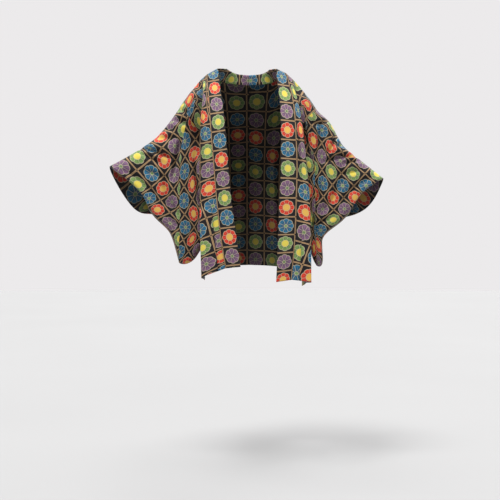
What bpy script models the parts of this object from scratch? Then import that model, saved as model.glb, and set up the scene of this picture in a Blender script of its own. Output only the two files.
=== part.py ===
"""Haori: an open, hip-length jacket of straight strips of cloth, in the form it takes when worn.

Each body half is one strip that runs from the front hem over the shoulder to the back hem. A sleeve is
one strip folded over the arm and sewn into a bag that is open at the wrist and along its inner edge.
Every strip is an open sheet, laid out on its own cut with (across, down) in metres of cloth, and given
its thickness afterwards. Metres, +Z up, the wearer faces -Y, and the origin is the inner face of the
collar at the nape. "Out" is the distance from the middle of the body towards either side.
"""
import math

import bmesh
import bpy
import numpy as np

# The cut of the cloth
CLOTH = 0.002              # thickness of the lined silk
COLLAR_THICKNESS = 0.003   # the collar is folded double
SLEEVE_WIDTH = 0.340
SLEEVE_LENGTH = 0.485      # from the fold over the arm to the lower edge
SLEEVE_ROUND = 0.070       # radius of the outer lower corner
CUFF = 0.225               # open part of the wrist edge, below the fold over the arm
ARMHOLE = 0.225            # sewn part of the inner edge, below the fold over the arm
BODY_WIDTH = 0.310         # from the centre back seam to the armhole seam
NECK_WIDTH = 0.120         # from the centre back seam to the collar seam
FRONT_LENGTH = 0.700
BACK_LENGTH = 0.680
COLLAR_WIDTH = 0.055
INK = (0.012, 0.011, 0.015)
ROUGHNESS = 0.8

# Gaps between the sheets' middles where two pieces are sewn together
SEAM_GAP = 0.0005          # in line with each other
SEAM_TUCK = 0.0027         # side by side, in the valley at the armpit
GUSSET_GAP = 0.0008        # along the two edges of a gusset
COLLAR_GAP = 0.0009        # along the fronts
NECK_GAP = 0.0018          # round the neck, where the collar stands up from the body

# The pose
SHOULDER_Y = -0.090        # the line of the shoulders and arms
SIDES = {"right": -1, "left": 1}

# Cage of the sleeves: where the cut's (across, down) stations lie in the pose, as (out, height).
# "across" runs outwards from the armhole seam, and its first station lies on the body strip.
ACROSS = (-0.060, 0.0, 0.060, 0.154, 0.248, 0.340)
SLEEVE_CAGE = {
    "right": (
        # down    on the body       armhole seam      inner arm
        #         elbow             forearm           wrist
        (0.0000, ((0.185, -0.050), (0.222, -0.099), (0.254, -0.147),
                  (0.314, -0.219), (0.388, -0.270), (0.473, -0.317))),
        (0.1265, ((0.158, -0.098), (0.178, -0.154), (0.205, -0.217),
                  (0.249, -0.298), (0.309, -0.365), (0.378, -0.415))),
        (0.2525, ((0.087, -0.195), (0.107, -0.251), (0.148, -0.300),
                  (0.195, -0.385), (0.246, -0.456), (0.319, -0.490))),
        (0.3155, ((0.069, -0.228), (0.089, -0.284), (0.128, -0.339),
                  (0.167, -0.428), (0.211, -0.498), (0.268, -0.543))),
        (0.3785, ((0.050, -0.262), (0.070, -0.318), (0.107, -0.379),
                  (0.138, -0.472), (0.178, -0.540), (0.249, -0.598))),
        (0.4850, ((0.024, -0.327), (0.044, -0.383), (0.067, -0.448),
                  (0.101, -0.531), (0.155, -0.604), (0.231, -0.670))),
    ),
    "left": (
        (0.0000, ((0.196, -0.075), (0.229, -0.126), (0.272, -0.167),
                  (0.319, -0.247), (0.386, -0.303), (0.456, -0.358))),
        (0.1265, ((0.168, -0.111), (0.188, -0.167), (0.225, -0.222),
                  (0.268, -0.300), (0.328, -0.368), (0.392, -0.424))),
        (0.2525, ((0.118, -0.195), (0.138, -0.251), (0.176, -0.304),
                  (0.216, -0.375), (0.263, -0.448), (0.319, -0.498))),
        (0.3785, ((0.091, -0.262), (0.111, -0.318), (0.134, -0.379),
                  (0.171, -0.452), (0.199, -0.521), (0.248, -0.573))),
        (0.4850, ((0.077, -0.333), (0.097, -0.389), (0.121, -0.449),
                  (0.160, -0.531), (0.200, -0.609), (0.255, -0.684))),
    ),
}
# The line where a sleeve turns in beside the body: (height, out)
LIP = {
    "right": ((-0.70, 0.168), (-0.23, 0.168), (-0.16, 0.158), (-0.05, 0.150)),
    "left": ((-0.70, 0.208), (-0.57, 0.208), (-0.45, 0.201), (-0.37, 0.191), (-0.27, 0.180), (-0.11, 0.160)),
}
LIP_RADIUS = 0.010
# The long overlap down a sleeve, inner cloth over outer: (height, out, cloth hidden)
OVERLAP = {
    "right": ((-0.66, 0.238, 0.0), (-0.57, 0.234, 0.023), (-0.29, 0.228, 0.024), (-0.185, 0.210, 0.026),
              (-0.13, 0.198, 0.022), (-0.055, 0.149, 0.0)),
    "left": ((-0.66, 0.230, 0.0), (-0.50, 0.226, 0.012), (-0.29, 0.220, 0.016), (-0.185, 0.205, 0.012),
             (-0.055, 0.150, 0.0)),
}
OVERLAP_CLOTH = 0.060      # width of cloth that makes the overlap
OVERLAP_PROUD = 9.0        # how much deeper the bag is inside the overlap, for each metre hidden
# Half the depth of a sleeve's bag: (down, at the armhole, at the wrist)
BAG = ((0.000, 0.052, 0.036), (0.120, 0.056, 0.038), (0.300, 0.046, 0.034), (0.420, 0.036, 0.026),
       (0.485, 0.030, 0.020))
CREST_RADIUS = (0.042, 0.026)   # of the fold over the arm, at the armhole and at the wrist
SEWN_EDGE_ROUND = 0.022         # how far in from a sewn edge the bag rounds off
ARMPIT_DEPTH = 0.014            # half the depth left between the layers at the armpit
ARMPIT_TOP = 0.120              # where the layers start to come together, below the fold over the arm
ARMPIT_REACH = 0.080            # width of cloth that slopes in to the armpit
CUFF_DROOP = {"right": 0.046, "left": 0.034}     # how far the back of the open cuff hangs out
CUFF_DROOP_REACH = 0.100        # width of cloth that hangs with it
CUFF_ROLL = {"right": 0.023, "left": 0.027}      # width of cloth rolled in along the front of the cuff
CUFF_ROLL_RADIUS = 0.006


def through(stations, values, at):
    """Read a smooth curve that passes through values at rising stations, with no overshoot."""
    s = np.asarray(stations, float)
    x = np.atleast_1d(np.asarray(at, float))
    y = np.asarray(values, float)
    if y.ndim == 1:
        y = np.repeat(y[:, None], x.size, axis=1)
    step = np.diff(s)[:, None]
    rise = np.diff(y, axis=0) / step
    slope = np.empty_like(y)
    slope[0], slope[-1] = rise[0], rise[-1]
    both = rise[:-1] * rise[1:]
    total = np.where(both > 0, rise[:-1] + rise[1:], 1.0)
    slope[1:-1] = np.where(both > 0, 2 * both / total, 0.0)
    i = np.clip(np.searchsorted(s, x, side="right") - 1, 0, len(s) - 2)
    n = np.arange(x.size)
    h = s[i + 1] - s[i]
    t = np.clip((x - s[i]) / h, 0.0, 1.0)
    inside = (
        (2 * t**3 - 3 * t**2 + 1) * y[i, n] + (t**3 - 2 * t**2 + t) * h * slope[i, n]
        + (3 * t**2 - 2 * t**3) * y[i + 1, n] + (t**3 - t**2) * h * slope[i + 1, n]
    )
    below, above = np.minimum(x - s[0], 0.0), np.maximum(x - s[-1], 0.0)
    return inside + below * slope[0, n] + above * slope[-1, n]


def eased(t):
    """0 to 1, slow at both ends."""
    t = np.clip(t, 0.0, 1.0)
    return t * t * (3 - 2 * t)


def column(table, key, at):
    """One column of a table whose first column rises."""
    return through([row[0] for row in table], [row[key] for row in table], at)


def round_off(distance, radius):
    """Profile of a quarter circle: 0 at an edge, 1 from one radius in."""
    t = 1 - np.clip(distance / radius, 0.0, 1.0)
    return np.sqrt(np.clip(1 - t * t, 0.0, 1.0))


def widest(down):
    """Width of the sleeve's cut at a distance below the fold, with its rounded outer corner."""
    into = np.clip((down - (SLEEVE_LENGTH - SLEEVE_ROUND)) / SLEEVE_ROUND, 0.0, 1.0)
    return SLEEVE_WIDTH - SLEEVE_ROUND * (1 - np.sqrt(1 - into * into))


def sleeve_plane(side, across, down):
    """Where the sleeve's cut lies seen from the front: out, height, and how far round the arm it is."""
    share = np.clip(across / SLEEVE_WIDTH, 0.0, 1.0)
    radius = CREST_RADIUS[0] + share * (CREST_RADIUS[1] - CREST_RADIUS[0])
    # Over the fold the cloth first turns round the arm, so it drops less than its own length
    turn = np.minimum(down / radius, math.pi / 2)
    drop = radius * (1 - np.cos(turn)) + np.maximum(down - radius * math.pi / 2, 0.0)
    stations = np.array([station for station, places in SLEEVE_CAGE[side]])
    stations[1:] -= CREST_RADIUS[0] * (math.pi / 2 - 1)
    plane = []
    for c in (0, 1):
        rows = [through(ACROSS, [place[c] for place in places], across) for _, places in SLEEVE_CAGE[side]]
        plane.append(through(stations, np.array(rows), drop))
    return plane[0], plane[1], np.sin(turn)


def bag_depth(across, down, rounded):
    """Half the depth of the bag: round at the fold and at the sewn edges, open at the wrist."""
    share = np.clip(across / SLEEVE_WIDTH, 0.0, 1.0)
    depth = (1 - share) * column(BAG, 1, down) + share * column(BAG, 2, down)
    sewn = eased((down - (CUFF - 0.060)) / 0.060)
    wrist = 1 - sewn * (1 - round_off(widest(down) - across, SEWN_EDGE_ROUND))
    depth = depth * rounded * wrist * round_off(SLEEVE_LENGTH - down, SEWN_EDGE_ROUND)
    # The two layers come together at the armpit, over the narrow top of the gusset
    pinch = eased((down - ARMPIT_TOP) / (ARMHOLE - ARMPIT_TOP)) * eased(1 - (down - ARMHOLE) / 0.060)
    pinch = pinch * eased(1 - np.abs(across) / ARMPIT_REACH)
    return depth + pinch * (np.minimum(depth, ARMPIT_DEPTH) - depth)


def overlapped(side, out, height):
    """Fold the plane at the long overlap: cloth inside its line lies over the cloth outside it."""
    line, hidden = column(OVERLAP[side], 1, height), column(OVERLAP[side], 2, height)
    over = eased((line + OVERLAP_CLOTH / 2 - hidden / 2 - out) / OVERLAP_CLOTH)
    return out + hidden * over, over * hidden


def turned_in(side, down, out, height, depth):
    """Beside the body the layer turns in towards the arm's own line, which its inner edge reaches."""
    lip = column(LIP[side], 1, height)
    excess = np.maximum(lip - out, 0.0)
    bend = np.minimum(excess / LIP_RADIUS, math.pi / 2)
    run = np.maximum(excess - LIP_RADIUS * math.pi / 2, 0.0)
    edge_out, edge_height, rounded = sleeve_plane(side, np.zeros_like(down), down)
    edge_out, hidden = overlapped(side, edge_out, edge_height)
    edge_run = np.maximum(column(LIP[side], 1, edge_height) - edge_out - LIP_RADIUS * math.pi / 2, 1e-6)
    room = np.maximum(depth - ARMPIT_DEPTH - LIP_RADIUS, 0.0)
    inward = np.clip(run / edge_run, 0.0, 1.4) * np.minimum(room, 1.5 * edge_run)
    depth = np.maximum(depth - LIP_RADIUS * (1 - np.cos(bend)), np.minimum(depth, ARMPIT_DEPTH)) - inward
    return np.where(excess > 0, lip - LIP_RADIUS * np.sin(bend), out), depth


def sleeve_point(side, face, across, down):
    """Points of the sleeve's cut as worn. face is -1 for the front layer and 1 for the back one."""
    across, down = np.broadcast_arrays(np.asarray(across, float), np.asarray(down, float))
    shape = across.shape
    across, down = across.ravel(), down.ravel()
    mouth = np.sin(math.pi * np.clip(down / CUFF, 0.0, 1.0))
    # The front of the cuff is rolled in
    excess = np.maximum(across - widest(down) + CUFF_ROLL[side] * mouth, 0.0) * (face < 0)
    bend = np.minimum(excess / CUFF_ROLL_RADIUS, math.pi / 2)
    inward = CUFF_ROLL_RADIUS * (1 - np.cos(bend)) + np.maximum(excess - CUFF_ROLL_RADIUS * math.pi / 2, 0.0)
    out, height, rounded = sleeve_plane(side, across - excess + CUFF_ROLL_RADIUS * np.sin(bend), down)
    depth = bag_depth(across, down, rounded)
    depth = np.maximum(depth - inward, 0.3 * depth)
    if face > 0:
        # The back of the cuff hangs lower than the front
        droop = CUFF_DROOP[side] * mouth * eased(1 - (widest(down) - across) / CUFF_DROOP_REACH)
        out = out + 0.5 * droop
        height = height - 0.8 * droop
    out, hidden = overlapped(side, out, height)
    depth = depth * (1 + hidden * OVERLAP_PROUD)
    out, depth = turned_in(side, down, out, height, depth)
    return np.stack([SIDES[side] * out, SHOULDER_Y + face * depth, height], axis=-1).reshape(shape + (3,))


# Fold lines of the body strips, from the hem over the shoulder: (down, out, y, height).
# "down" is negative on the back. The lines beside the armhole follow the sleeve as far as the armpit.
BODY_ACROSS = (0.0, 0.060, NECK_WIDTH, 0.175, 0.225, 0.268, BODY_WIDTH)
NECK_LINE = 2
DOWN, OUT, Y, HEIGHT = range(4)
BACK_LINES = (
    # centre seam
    ((0.680, 0.000, 0.172, -0.655), (0.450, 0.000, 0.180, -0.430), (0.330, 0.000, 0.160, -0.315),
     (0.200, 0.000, 0.108, -0.200), (0.080, 0.000, 0.050, -0.095), (0.0, 0.000, 0.006, -0.024)),
    # between the centre and the neck
    ((0.680, 0.060, 0.156, -0.657), (0.450, 0.060, 0.165, -0.434), (0.330, 0.060, 0.150, -0.320),
     (0.200, 0.062, 0.102, -0.205), (0.080, 0.066, 0.044, -0.098), (0.0, 0.072, -0.010, -0.020)),
)
BODY_LINES = {
    "right": (
        # below the side of the neck, and the collar seam
        ((-0.680, 0.115, 0.178, -0.662), (-0.450, 0.112, 0.172, -0.440), (-0.330, 0.112, 0.148, -0.325),
         (-0.200, 0.118, 0.090, -0.205), (-0.080, 0.130, 0.012, -0.085), (0.0, 0.144, -0.090, -0.006),
         (0.050, 0.141, -0.128, -0.040), (0.100, 0.136, -0.160, -0.085), (0.160, 0.131, -0.190, -0.143),
         (0.225, 0.126, -0.207, -0.207), (0.330, 0.117, -0.218, -0.311), (0.450, 0.107, -0.222, -0.430),
         (0.580, 0.093, -0.222, -0.558), (0.700, 0.077, -0.218, -0.660)),
        # the corner where the body turns from its front or back to its side
        ((-0.680, 0.160, 0.140, -0.672), (-0.450, 0.155, 0.130, -0.450), (-0.330, 0.152, 0.108, -0.335),
         (-0.200, 0.152, 0.062, -0.210), (-0.080, 0.156, -0.010, -0.090), (0.0, 0.160, -0.090, -0.020),
         (0.050, 0.152, -0.132, -0.045), (0.100, 0.152, -0.168, -0.090), (0.160, 0.156, -0.196, -0.150),
         (0.225, 0.159, -0.211, -0.215), (0.330, 0.160, -0.222, -0.322), (0.450, 0.159, -0.225, -0.445),
         (0.580, 0.157, -0.225, -0.576), (0.700, 0.154, -0.221, -0.690)),
        # the side, or the bottom of the valley beside the armhole
        ((-0.680, 0.162, 0.085, -0.682), (-0.450, 0.152, 0.078, -0.460), (-0.330, 0.148, 0.060, -0.345),
         (-0.200, 0.146, 0.020, -0.215), (-0.080, 0.158, -0.040, -0.105), (0.0, 0.178, -0.090, -0.040),
         (0.050, 0.158, -0.112, -0.070), (0.100, 0.152, -0.120, -0.110), (0.160, 0.148, -0.128, -0.165),
         (0.225, 0.147, -0.160, -0.230), (0.330, 0.148, -0.168, -0.332), (0.450, 0.150, -0.168, -0.457),
         (0.580, 0.152, -0.164, -0.583), (0.700, 0.153, -0.155, -0.695)),
    ),
    "left": (
        ((-0.680, 0.115, 0.178, -0.662), (-0.450, 0.112, 0.172, -0.440), (-0.330, 0.112, 0.148, -0.325),
         (-0.200, 0.118, 0.090, -0.205), (-0.080, 0.124, 0.012, -0.085), (0.0, 0.127, -0.090, -0.002),
         (0.050, 0.136, -0.128, -0.045), (0.100, 0.146, -0.160, -0.095), (0.160, 0.152, -0.190, -0.155),
         (0.225, 0.155, -0.207, -0.220), (0.330, 0.158, -0.218, -0.325), (0.450, 0.155, -0.222, -0.445),
         (0.580, 0.150, -0.222, -0.572), (0.700, 0.139, -0.218, -0.697)),
        ((-0.680, 0.172, 0.140, -0.672), (-0.450, 0.166, 0.130, -0.450), (-0.330, 0.160, 0.108, -0.335),
         (-0.200, 0.156, 0.062, -0.210), (-0.080, 0.152, -0.010, -0.090), (0.0, 0.145, -0.090, -0.018),
         (0.050, 0.150, -0.132, -0.052), (0.100, 0.160, -0.168, -0.101), (0.160, 0.170, -0.196, -0.161),
         (0.225, 0.178, -0.211, -0.226), (0.330, 0.188, -0.222, -0.332), (0.450, 0.198, -0.225, -0.452),
         (0.580, 0.201, -0.225, -0.582), (0.700, 0.202, -0.221, -0.705)),
        ((-0.680, 0.186, 0.085, -0.682), (-0.450, 0.178, 0.078, -0.460), (-0.330, 0.166, 0.060, -0.345),
         (-0.200, 0.156, 0.020, -0.215), (-0.080, 0.158, -0.040, -0.110), (0.0, 0.168, -0.090, -0.042),
         (0.050, 0.157, -0.112, -0.078), (0.100, 0.156, -0.120, -0.118), (0.160, 0.158, -0.128, -0.175),
         (0.225, 0.162, -0.160, -0.236), (0.330, 0.170, -0.168, -0.338), (0.450, 0.182, -0.168, -0.462),
         (0.580, 0.190, -0.164, -0.590), (0.700, 0.191, -0.155, -0.709)),
    ),
}
# Below the armpit the last two lines run down the side: (down, out, y, height)
SIDE_LINES = {
    "right": (
        ((-0.680, 0.157, 0.045, -0.690), (-0.450, 0.150, 0.036, -0.465), (-0.300, 0.147, 0.000, -0.320),
         (-0.225, 0.149, -0.022, -0.222), (0.180, 0.160, -0.143, -0.171), (0.225, 0.150, -0.135, -0.225),
         (0.300, 0.147, -0.132, -0.312), (0.450, 0.149, -0.130, -0.461), (0.700, 0.151, -0.108, -0.699)),
        ((-0.680, 0.155, 0.006, -0.696), (-0.450, 0.150, -0.008, -0.470), (-0.300, 0.148, -0.042, -0.325),
         (0.300, 0.148, -0.104, -0.320), (0.450, 0.149, -0.094, -0.466), (0.700, 0.152, -0.062, -0.703)),
    ),
    "left": (
        ((-0.680, 0.192, 0.045, -0.690), (-0.450, 0.180, 0.036, -0.465), (-0.300, 0.164, 0.000, -0.320),
         (-0.225, 0.158, -0.022, -0.224), (0.180, 0.167, -0.140, -0.182), (0.225, 0.159, -0.135, -0.230),
         (0.300, 0.164, -0.132, -0.318), (0.450, 0.180, -0.130, -0.467), (0.700, 0.188, -0.108, -0.716)),
        ((-0.680, 0.194, 0.006, -0.696), (-0.450, 0.181, -0.008, -0.470), (-0.300, 0.165, -0.042, -0.325),
         (0.300, 0.165, -0.104, -0.325), (0.450, 0.180, -0.094, -0.472), (0.700, 0.182, -0.062, -0.723)),
    ),
}
# Rows of the cut along an armhole, which the body strip and the sleeve share, and below it on the body
ARMHOLE_ROWS = np.array((0.000, 0.015, 0.030, 0.045, 0.060, 0.080, 0.100,
                         0.120, 0.140, 0.160, 0.180, 0.2025, ARMHOLE))
FRONT_ROWS = np.linspace(ARMHOLE, FRONT_LENGTH, 11)
BACK_ROWS = np.linspace(ARMHOLE, BACK_LENGTH, 11)
NECK_COLUMNS = np.linspace(SEAM_GAP, NECK_WIDTH, 6)


def body_lines(side):
    """The fold lines of a body strip as sorted tables, those beside the armhole taken from the sleeve."""
    lines = [[(-row[0],) + row[1:] for row in line] for line in BACK_LINES]
    lines += [list(line) for line in BODY_LINES[side]]
    for line, across, last in zip(SIDE_LINES[side], (BODY_ACROSS[-2] - BODY_WIDTH, 0.0), (0.140, ARMHOLE)):
        reach = ARMHOLE_ROWS[ARMHOLE_ROWS <= last]
        tuck = SEAM_TUCK * eased((reach - 0.090) / 0.070)
        rows = list(line)
        for face, first in ((-1, 0), (1, 1)):
            places = sleeve_point(side, face, np.full_like(reach, across), reach)
            places[:, 0] = SIDES[side] * places[:, 0] - tuck
            rows += [(-face * down, *place) for down, place in zip(reach[first:], places[first:])]
        lines.append(rows)
    return [sorted(line) for line in lines]


LINES = {side: body_lines(side) for side in SIDES}


def strip_point(side, first, across, down):
    """Read a body strip between its fold lines, from the first line that is used."""
    point = []
    for c in (OUT, Y, HEIGHT):
        lines = [column(line, c, down) for line in LINES[side][first:]]
        point.append(through(BODY_ACROSS[first:], lines, across))
    return np.stack(point, axis=-1)


def body_point(side, across, down):
    """Points of a body strip as worn. down is positive on the front and negative on the back."""
    across, down = np.broadcast_arrays(np.asarray(across, float), np.asarray(down, float))
    u, v = across.ravel(), down.ravel()
    front, back = strip_point(side, NECK_LINE, u, v), strip_point(side, 0, u, v)
    # The front has no lines inside the neck, so near the shoulder the back is led into the front
    shoulder = np.zeros_like(v)
    joint = strip_point(side, NECK_LINE, u, shoulder) - strip_point(side, 0, u, shoulder)
    back = back + joint * (eased(1 + v / 0.060) * (u >= NECK_WIDTH))[:, None]
    point = np.where((v > 0)[:, None], front, back)
    point[:, 0] *= SIDES[side]
    return point.reshape(across.shape + (3,))


def sheet_object(name, grids, thickness, keep=None):
    """An open sheet made solid, from one or more grids of points that are welded where they meet."""
    bm = bmesh.new()
    for points in grids:
        rows, cols = points.shape[:2]
        made = bmesh.ops.create_grid(bm, x_segments=cols - 1, y_segments=rows - 1, size=1.0)["verts"]
        order = sorted(made, key=lambda vertex: (round(vertex.co.y, 6), round(vertex.co.x, 6)))
        for vertex, point in zip(order, points.reshape(-1, 3)):
            vertex.co = point
        if keep is not None:
            place = {vertex: divmod(n, cols) for n, vertex in enumerate(order)}
            cells = {face: tuple(map(min, zip(*(place[v] for v in face.verts)))) for face in bm.faces}
            spare = [face for face, cell in cells.items() if not keep[cell]]
            bmesh.ops.delete(bm, geom=spare, context="FACES")
    bmesh.ops.remove_doubles(bm, verts=bm.verts, dist=0.00005)
    bmesh.ops.recalc_face_normals(bm, faces=bm.faces)
    mesh = bpy.data.meshes.new(name)
    bm.to_mesh(mesh)
    bm.free()
    sheet = bpy.data.objects.new(name, mesh)
    HAORI.objects.link(sheet)
    solid = sheet.modifiers.new("thickness", "SOLIDIFY")
    solid.thickness = thickness
    solid.offset = 0.0
    solid.use_even_offset = False
    material = bpy.data.materials.new(name + " cloth")
    material.use_nodes = True
    shader = material.node_tree.nodes["Principled BSDF"]
    shader.inputs["Base Color"].default_value = (*INK, 1.0)
    shader.inputs["Roughness"].default_value = ROUGHNESS
    mesh.materials.append(material)


def make_sleeve(side):
    """A bag of two layers, joined over the arm and along the sewn edges."""
    sewn = SLEEVE_LENGTH - SEWN_EDGE_ROUND
    rounding = sewn + SEWN_EDGE_ROUND * np.sin(np.linspace(0.0, math.pi / 2, 4))
    downs = np.concatenate([ARMHOLE_ROWS, np.linspace(ARMHOLE, sewn, 10)[1:], rounding[1:]])
    share = np.linspace(0.0, 1.0, 17)
    across = SEAM_GAP + share[None, :] * (widest(downs)[:, None] - SEAM_GAP)
    down = np.repeat(downs[:, None], len(share), axis=1)
    sheet_object("sleeve_" + side, [sleeve_point(side, face, across, down) for face in (-1, 1)], CLOTH)


def make_body(side):
    """One strip from the back hem over the shoulder to the front hem, with the neck cut away."""
    across = np.concatenate([NECK_COLUMNS, np.linspace(NECK_WIDTH, BODY_WIDTH, 13)[1:]])
    downs = np.concatenate([-BACK_ROWS[:0:-1], -ARMHOLE_ROWS[::-1], ARMHOLE_ROWS[1:], FRONT_ROWS[1:]])
    u, v = np.meshgrid(across, downs)
    keep = (v[:-1, :-1] < -1e-9) | (u[:-1, :-1] >= NECK_WIDTH - 1e-9)
    sheet_object("body_" + side, [body_point(side, u, v)], CLOTH, keep)


def make_gusset(side):
    """The wedge between a front and a back, from the armpit to the hem."""
    front = body_point(side, BODY_WIDTH, FRONT_ROWS)
    back = body_point(side, BODY_WIDTH, -BACK_ROWS)
    top = 0.05
    front[0] += top * (front[1] - front[0])
    back[0] += top * (back[1] - back[0])
    width = np.linalg.norm(back - front, axis=1)[:, None]
    share = (GUSSET_GAP + np.linspace(0, 1, 4) * (width - 2 * GUSSET_GAP)) / width
    points = front[:, None] + share[:, :, None] * (back - front)[:, None]
    sheet_object("gusset_" + side, [points], CLOTH)


# The collar is a long folded band. Its seam follows the body's edge, and on the fronts it lies flat:
# this is its free edge there, by the distance down the body strip, as (down, out, y, height)
COLLAR_EDGE = {
    "right": ((0.0, 0.107, -0.091, 0.0145), (0.050, 0.101, -0.126, -0.033), (0.100, 0.095, -0.158, -0.079),
              (0.160, 0.086, -0.189, -0.137), (0.225, 0.080, -0.209, -0.200), (0.330, 0.070, -0.223, -0.304),
              (0.450, 0.060, -0.228, -0.423), (0.580, 0.043, -0.229, -0.552), (0.700, 0.029, -0.225, -0.655)),
    "left": ((0.0, 0.094, -0.091, 0.0135), (0.050, 0.097, -0.126, -0.038), (0.100, 0.102, -0.158, -0.090),
             (0.160, 0.1055, -0.189, -0.150), (0.225, 0.106, -0.209, -0.217), (0.330, 0.1055, -0.223, -0.322),
             (0.450, 0.100, -0.228, -0.445), (0.580, 0.0955, -0.229, -0.574), (0.700, 0.090, -0.225, -0.704)),
}
# Behind the neck it stands up and is folded outwards in half
COLLAR_STANDS = math.radians(93)
COLLAR_FOLD_AT = 0.030           # height of the fold above the seam, along the band
COLLAR_FOLD_RADIUS = 0.0042
COLLAR_FOLD_TURN = math.radians(172)
COLLAR_OPENS = 0.20              # where it starts to flatten, as a share of the way to the shoulder
COLLAR_SHARES = np.array((0.0, 0.26, 0.50, 0.59, 0.67, 0.75, 0.82, 1.0))


def front_collar_point(side, share, down):
    """Points of the front band: share runs from the seam to the free edge."""
    seam = body_point(side, NECK_WIDTH, down)
    edge = np.stack([column(COLLAR_EDGE[side], c, down) for c in (OUT, Y, HEIGHT)], axis=-1)
    edge[:, 0] *= SIDES[side]
    start = (COLLAR_GAP + (NECK_GAP - COLLAR_GAP) * eased(1 - down / 0.100))[:, None] / COLLAR_WIDTH
    t = (start + (1 - start) * share[None, :])[:, :, None]
    return seam[:, None] * (1 - t) + edge[:, None] * t


def back_collar_point(share, round_neck):
    """One row of the band behind the neck, from -1 at the right shoulder to 1 at the left."""
    side = "right" if round_neck < 0 else "left"
    near = abs(round_neck)
    neckline = body_point(side, NECK_COLUMNS, 0.0)
    seam = np.array([np.interp(NECK_WIDTH * near, NECK_COLUMNS, neckline[:, c]) for c in range(3)])
    edge = np.array(COLLAR_EDGE[side][0][OUT:]) - neckline[-1] * (SIDES[side], 1, 1)
    flat_width, flat_heading = math.hypot(*edge), math.atan2(edge[2], edge[0])
    opened = eased((near - COLLAR_OPENS) / (1 - COLLAR_OPENS))
    width = COLLAR_WIDTH + opened * (flat_width - COLLAR_WIDTH)
    fold = COLLAR_FOLD_AT + opened * (width - COLLAR_FOLD_AT)
    # Walk along the band from the seam, turning at the fold
    along, step = np.linspace(0, width, 60, retstep=True)
    heading = COLLAR_STANDS + opened * (flat_heading - COLLAR_STANDS)
    heading = heading - np.clip((along - fold) / (COLLAR_FOLD_RADIUS * math.pi), 0, 1) * COLLAR_FOLD_TURN
    walked_out = np.concatenate([[0], np.cumsum(np.cos(heading))[:-1]]) * step
    walked_up = np.concatenate([[0], np.cumsum(np.sin(heading))[:-1]]) * step
    at = NECK_GAP + share * (width - NECK_GAP)
    out, up = np.interp(at, along, walked_out), np.interp(at, along, walked_up)
    swing = near * math.pi / 2
    x = seam[0] + SIDES[side] * math.sin(swing) * out
    y = seam[1] + math.cos(swing) * out + opened * edge[1] * share
    return np.stack([x, y, seam[2] + up], axis=-1)


def make_collar():
    """One long band, from the right front hem round the back of the neck to the left front hem."""
    down = np.concatenate([ARMHOLE_ROWS[1::2], FRONT_ROWS[1:]])
    behind = [back_collar_point(COLLAR_SHARES, n) for n in np.linspace(-1, 1, 23)]
    band = np.concatenate([front_collar_point("right", COLLAR_SHARES, down[::-1]), behind,
                           front_collar_point("left", COLLAR_SHARES, down)])
    sheet_object("collar", [band], COLLAR_THICKNESS)


for ob in list(bpy.data.objects):
    bpy.data.objects.remove(ob, do_unlink=True)
HAORI = bpy.data.collections.new("haori")
bpy.context.scene.collection.children.link(HAORI)
for side in SIDES:
    make_sleeve(side)
    make_body(side)
    make_gusset(side)
make_collar()
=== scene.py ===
"""Looks of a haori: thin printed silk sheets on the jacket's solids, seen on a pale studio floor.

The pieces come in the order in which the jacket is sewn: sleeves, body strips, gussets and collar. Every
sheet is laid out on its own cut, with (across, down) in metres of cloth, and then folded into the pose.
Sizes are in metres, and the tables that go through metres() are written in millimetres.
"Right" and "left" are the wearer's, "out" is the distance from the middle of the body to either side,
and the wearer faces -Y.
"""
import math

import bmesh
import bpy
import numpy as np
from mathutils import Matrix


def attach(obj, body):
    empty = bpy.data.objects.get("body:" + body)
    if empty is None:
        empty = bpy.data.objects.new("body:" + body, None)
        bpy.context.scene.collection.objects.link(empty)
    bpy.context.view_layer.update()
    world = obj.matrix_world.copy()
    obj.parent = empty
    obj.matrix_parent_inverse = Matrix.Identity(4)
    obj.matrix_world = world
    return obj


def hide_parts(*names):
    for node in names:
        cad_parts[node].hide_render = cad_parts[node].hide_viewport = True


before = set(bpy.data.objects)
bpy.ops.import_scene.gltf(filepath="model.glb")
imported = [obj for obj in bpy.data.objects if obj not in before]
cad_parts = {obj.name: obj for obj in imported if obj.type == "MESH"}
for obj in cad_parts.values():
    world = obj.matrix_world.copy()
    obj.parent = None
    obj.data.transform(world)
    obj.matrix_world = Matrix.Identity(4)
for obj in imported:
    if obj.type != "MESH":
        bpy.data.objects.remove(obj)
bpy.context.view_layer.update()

# ------------------------------------------------------------------------------------------- sleeves
# Each sleeve is one strip of the bolt, folded over the arm and sewn up as a bag. The wrist edge is open
# for the hand, the outer lower corner is rounded, and below the arm the inner edge hangs open beside
# the body. The bag falls in one long overlap from the armpit, with short creases inside the elbow.
SIDES = {"right": -1, "left": 1}
SHOULDER_Y = -0.090        # the line of the shoulders and arms
GRAIN, FINE_GRAIN = 0.004, 0.0025   # size of a sheet's mesh, and across its folds
SILK = 0.0014              # thickness of the lined silk
SLEEVE_WIDTH = 0.340
SLEEVE_LENGTH = 0.485      # from the fold over the arm to the lower edge
SLEEVE_ROUND = 0.070       # radius of the outer lower corner
CUFF = 0.225               # open part of the wrist edge, below the fold over the arm
ARMHOLE = 0.225            # sewn part of the inner edge, below the fold over the arm


def metres(table):
    """A table of millimetres, in metres."""
    if isinstance(table, dict):
        return {key: metres(rows) for key, rows in table.items()}
    return tuple(metres(row) for row in table) if isinstance(table, tuple) else table / 1000


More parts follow.
